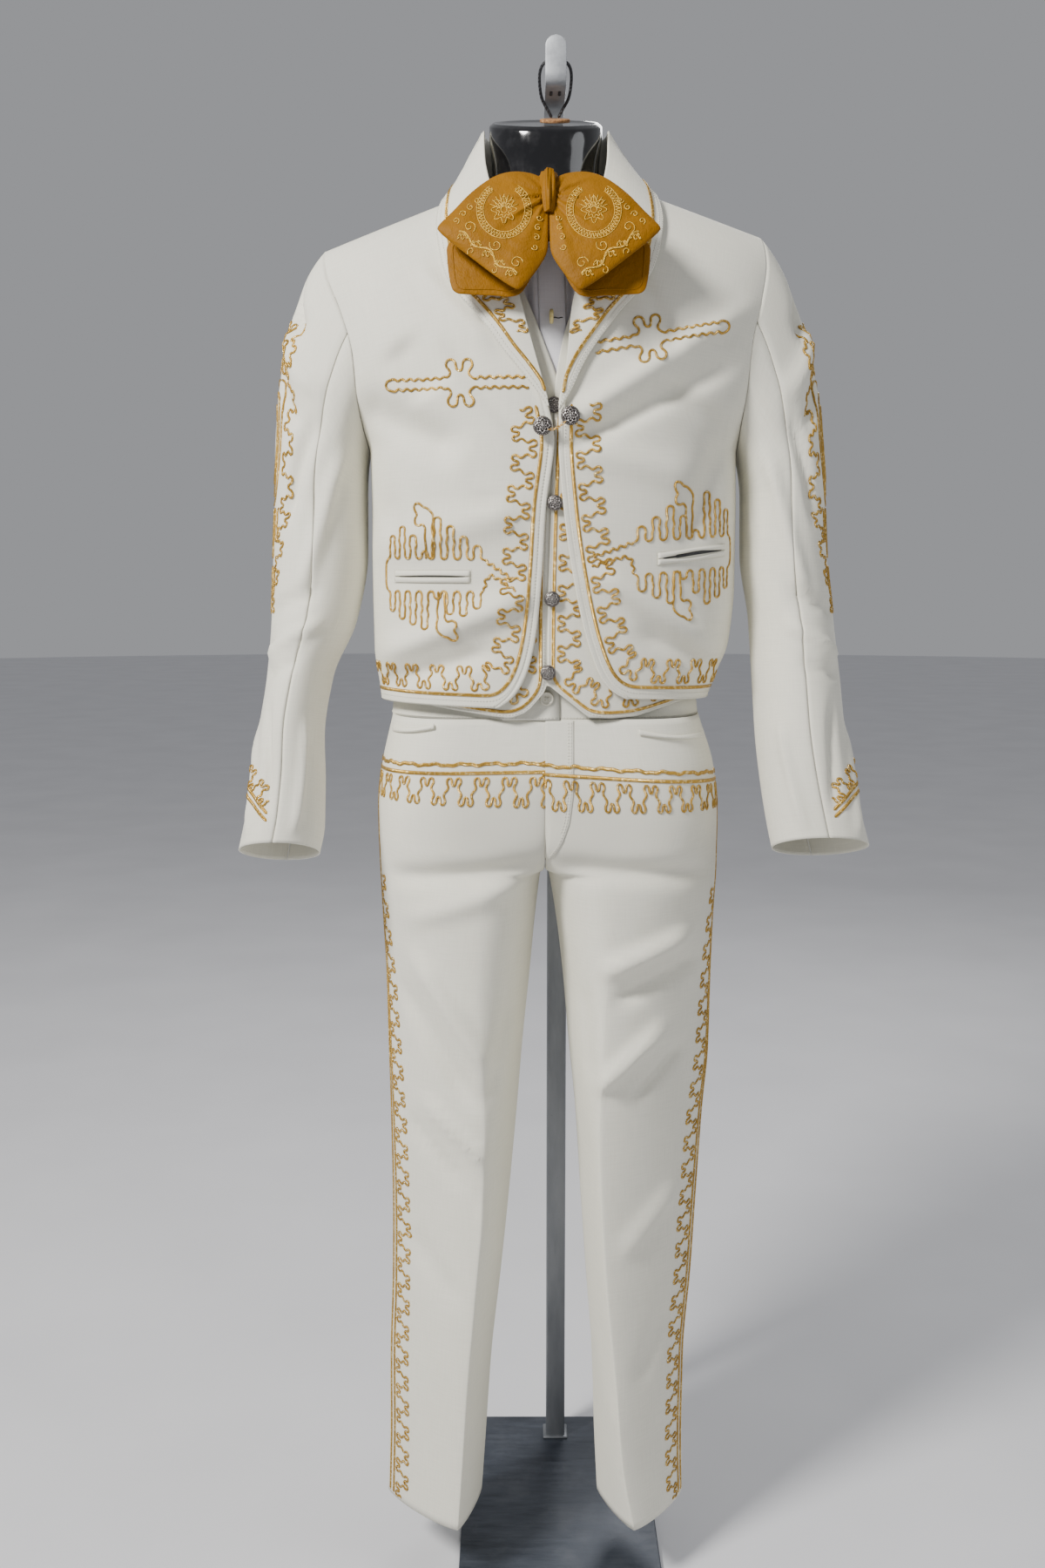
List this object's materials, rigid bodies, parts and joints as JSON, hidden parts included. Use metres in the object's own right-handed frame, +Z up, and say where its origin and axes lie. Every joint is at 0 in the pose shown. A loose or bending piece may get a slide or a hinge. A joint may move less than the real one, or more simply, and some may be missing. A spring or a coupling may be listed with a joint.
{
  "type": "charro suit on a torso form and stand",
  "caption": "Short jacket, waistcoat, trousers, shirt front and bow tie with gold braid, worn by a limbless hanging torso form on a hooked post with a flat base plate.",
  "frame": {"origin": "middle of the base plate's underside, on the floor", "axes": "+Z up, -Y the way the suit faces, +X to the right of someone facing it"},
  "size_m": [0.6765, 0.4558, 1.7205],
  "materials": {
    "ivory_gabardine": "soft twill wool blend, low sheen",
    "white_shirting": "plain matte cotton",
    "gold_braid": "metallic soutache braid with glints",
    "caramel_satin": "satin weave, padded, gold embroidery",
    "antique_silver": "antique silver, domed filigree, darkened hollows",
    "gilt_chain": "polished gilt",
    "bone_button": "cream button, satin gloss",
    "gloss_black_form": "glossy black moulded form",
    "cork_cap": "matte tan",
    "dark_cord": "dark braided cord",
    "grey_steel": "satin grey",
    "dark_plate": "dark blue-grey, scuffed"
  },
  "bodies": {
    "root": {"stand_base": "dark_plate", "stand_post": "grey_steel", "stand_arm": "grey_steel", "form_torso": "gloss_black_form", "form_neck_cap": "cork_cap", "hanging_loop": "dark_cord", "jacket_front_left": "ivory_gabardine", "jacket_front_right": "ivory_gabardine", "jacket_back": "ivory_gabardine", "jacket_lapel_left": "ivory_gabardine", "jacket_lapel_right": "ivory_gabardine", "jacket_collar": "ivory_gabardine", "jacket_welt_upper_left": "ivory_gabardine", "jacket_welt_lower_left": "ivory_gabardine", "jacket_welt_upper_right": "ivory_gabardine", "jacket_welt_lower_right": "ivory_gabardine", "jacket_braid_left": "gold_braid", "jacket_braid_right": "gold_braid", "jacket_button_left": "antique_silver", "jacket_button_right": "antique_silver", "jacket_button_chain": "gilt_chain", "sleeve_upper_left": "ivory_gabardine", "sleeve_under_left": "ivory_gabardine", "sleeve_upper_right": "ivory_gabardine", "sleeve_under_right": "ivory_gabardine", "cuff_braid_left": "gold_braid", "cuff_braid_right": "gold_braid", "waistcoat_front_left": "ivory_gabardine", "waistcoat_front_right": "ivory_gabardine", "waistcoat_back": "ivory_gabardine", "waistcoat_braid_left": "gold_braid", "waistcoat_braid_right": "gold_braid", "waistcoat_button_1": "antique_silver", "waistcoat_button_2": "antique_silver", "waistcoat_button_3": "antique_silver", "waistcoat_button_4": "antique_silver", "shirt_front": "white_shirting", "shirt_placket": "white_shirting", "shirt_button": "bone_button", "bow_wing_upper_left": "caramel_satin", "bow_wing_upper_right": "caramel_satin", "bow_wing_under_left": "caramel_satin", "bow_wing_under_right": "caramel_satin", "bow_knot": "caramel_satin", "bow_neck_band": "caramel_satin", "trouser_front_left": "ivory_gabardine", "trouser_front_right": "ivory_gabardine", "trouser_back_left": "ivory_gabardine", "trouser_back_right": "ivory_gabardine", "trouser_waistband": "ivory_gabardine", "trouser_fly": "ivory_gabardine", "trouser_waist_button": "bone_button", "trouser_pocket_left": "ivory_gabardine", "trouser_pocket_right": "ivory_gabardine", "trouser_hip_braid": "gold_braid", "trouser_side_braid_left": "gold_braid", "trouser_side_braid_right": "gold_braid"}
  },
  "joints": []
}
